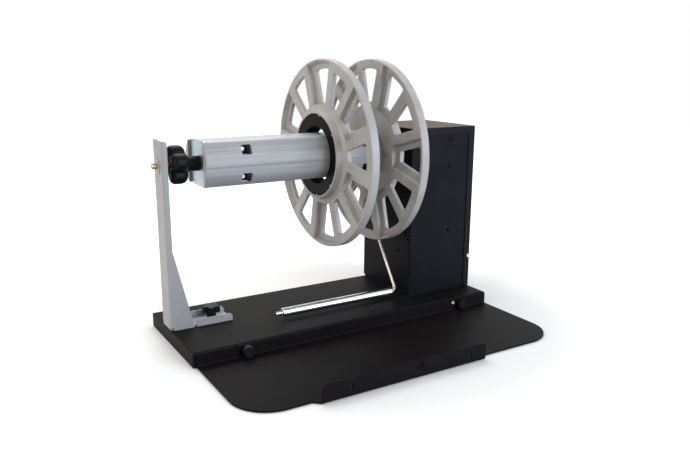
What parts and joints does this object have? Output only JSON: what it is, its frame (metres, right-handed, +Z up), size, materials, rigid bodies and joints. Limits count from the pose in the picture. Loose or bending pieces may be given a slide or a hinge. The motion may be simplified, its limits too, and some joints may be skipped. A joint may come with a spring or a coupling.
{
  "type": "label rewinder",
  "caption": "Tabletop label rewinder: expanding core holder between spoked flanges, tower with hand crank, outboard support column, tension arm and printer docking plate.",
  "frame": {"origin": "on the table under the middle of the object's overall box", "axes": "+X along the spindle from the support column to the tower, +Y to the back, +Z up"},
  "size_m": [0.545, 0.376, 0.353],
  "materials": {
    "black_powder_coat": "fine textured powder coat",
    "rubber": "matt",
    "zinc_plated_steel": "bright zinc plate",
    "bearing_steel": "ground",
    "cast_aluminium": "machined",
    "felt": "pressed felt",
    "bronze": "sintered bronze",
    "black_plastic": "fine matt texture",
    "grey_flange_plastic": "satin moulded",
    "shell_aluminium": "satin anodised",
    "grey_powder_coat": "smooth powder coat",
    "polished_steel": "polished nickel plate"
  },
  "bodies": {
    "stand": {"base_tray": "black_powder_coat", "rubber_feet": "rubber", "docking_plate": "black_powder_coat", "tray_inserts": "zinc_plated_steel", "tower_housing": "black_powder_coat", "tower_cover": "black_powder_coat", "panel_screws": "zinc_plated_steel", "tower_screws": "zinc_plated_steel", "bracket_screws": "black_powder_coat", "bearing_bracket": "zinc_plated_steel", "left_bearing_housing": "cast_aluminium", "right_bearing_housing": "cast_aluminium", "housing_screws": "zinc_plated_steel", "left_bearing": "bearing_steel", "right_bearing": "bearing_steel", "drag_washer": "felt", "arm_bush": "bronze", "arm_stops": "zinc_plated_steel"},
    "spindle": {"spindle_shaft": "bearing_steel", "drive_hub": "cast_aluminium", "hub_set_screw": "zinc_plated_steel", "inner_flange": "grey_flange_plastic", "inner_flange_screws": "zinc_plated_steel", "core_frame": "shell_aluminium", "end_plate": "zinc_plated_steel", "end_plate_rivets": "zinc_plated_steel", "frame_screws": "zinc_plated_steel", "drag_spring": "bearing_steel", "shaft_collar": "zinc_plated_steel", "crank_arm": "zinc_plated_steel", "crank_bolt": "zinc_plated_steel", "crank_grip_pin": "zinc_plated_steel"},
    "grip": {"crank_grip": "black_plastic"},
    "loose_flange": {"outer_flange": "grey_flange_plastic", "outer_flange_insert": "black_plastic"},
    "knob": {"expansion_knob": "black_plastic", "lead_screw": "bearing_steel"},
    "expander": {"threaded_carriage": "cast_aluminium", "plain_carriage": "cast_aluminium", "wedges": "cast_aluminium", "wedge_screws": "zinc_plated_steel", "carriage_rods": "zinc_plated_steel"},
    "front_shell": {"front_shell": "shell_aluminium", "front_ramp_pads": "cast_aluminium"},
    "rear_shell": {"rear_shell": "shell_aluminium", "rear_ramp_pads": "cast_aluminium"},
    "column": {"support_column": "grey_powder_coat", "column_bush": "bronze"},
    "clamp_knob": {"foot_knob": "black_plastic", "foot_stud": "zinc_plated_steel"},
    "left_thumb_screw": {"thumb_screw_left": "black_plastic"},
    "right_thumb_screw": {"thumb_screw_right": "black_plastic"},
    "arm": {"arm_rod": "polished_steel", "arm_hub": "polished_steel", "arm_pivot": "bearing_steel", "arm_clips": "zinc_plated_steel", "arm_lever": "zinc_plated_steel", "arm_spring": "bearing_steel"},
    "roller": {"roller_tube": "polished_steel", "roller_bushes": "black_plastic"}
  },
  "joints": [
    {"name": "spindle_spin", "type": "hinge", "parent": "stand", "child": "spindle", "pos_m": [0.0725, 0.061, 0.226], "axis": [1, 0, 0], "continuous": true},
    {"name": "crank_grip_spin", "type": "hinge", "parent": "spindle", "child": "grip", "pos_m": [0.1995, 0.131, 0.226], "axis": [1, 0, 0], "continuous": true},
    {"name": "outer_flange_slide", "type": "slide", "parent": "spindle", "child": "loose_flange", "axis": [1, 0, 0], "range_m": [-0.15, 0.06]},
    {"name": "expansion_knob_turn", "type": "hinge", "parent": "spindle", "child": "knob", "pos_m": [-0.2345, 0.061, 0.226], "axis": [1, 0, 0], "range_deg": [0, 720]},
    {"name": "carriage_slide", "type": "slide", "parent": "spindle", "child": "expander", "axis": [1, 0, 0], "range_m": [0, 0.003]},
    {"name": "front_shell_slide", "type": "slide", "parent": "spindle", "child": "front_shell", "axis": [0, 1, 0], "range_m": [0, 0.001]},
    {"name": "rear_shell_slide", "type": "slide", "parent": "spindle", "child": "rear_shell", "axis": [0, -1, 0], "range_m": [0, 0.001]},
    {"name": "column_slide", "type": "slide", "parent": "stand", "child": "column", "axis": [1, 0, 0], "range_m": [-0.014, 0]},
    {"name": "clamp_knob_turn", "type": "hinge", "parent": "stand", "child": "clamp_knob", "pos_m": [-0.205, 0.061, 0.03], "axis": [0, 0, 1], "range_deg": [0, 360]},
    {"name": "left_thumb_screw_turn", "type": "hinge", "parent": "stand", "child": "left_thumb_screw", "pos_m": [-0.198, -0.041, 0.011], "axis": [0, 1, 0], "range_deg": [-360, 0]},
    {"name": "right_thumb_screw_turn", "type": "hinge", "parent": "stand", "child": "right_thumb_screw", "pos_m": [0.1345, -0.041, 0.011], "axis": [0, 1, 0], "range_deg": [-360, 0]},
    {"name": "tension_arm_swing", "type": "hinge", "parent": "stand", "child": "arm", "pos_m": [0.0565, 0.093, 0.15], "axis": [-1, 0, 0], "range_deg": [0, 40], "stiffness_Nm_per_rad": 0.06, "springref_deg": -34.38},
    {"name": "roller_spin", "type": "hinge", "parent": "arm", "child": "roller", "pos_m": [-0.0395, 0.013, 0.0285], "axis": [1, 0, 0], "continuous": true}
  ],
  "couplings": [
    {"joint": "expansion_knob_turn", "follows": "carriage_slide", "rad_per_m": 4184.6},
    {"joint": "front_shell_slide", "follows": "carriage_slide", "ratio": 0.333},
    {"joint": "rear_shell_slide", "follows": "carriage_slide", "ratio": 0.333}
  ]
}
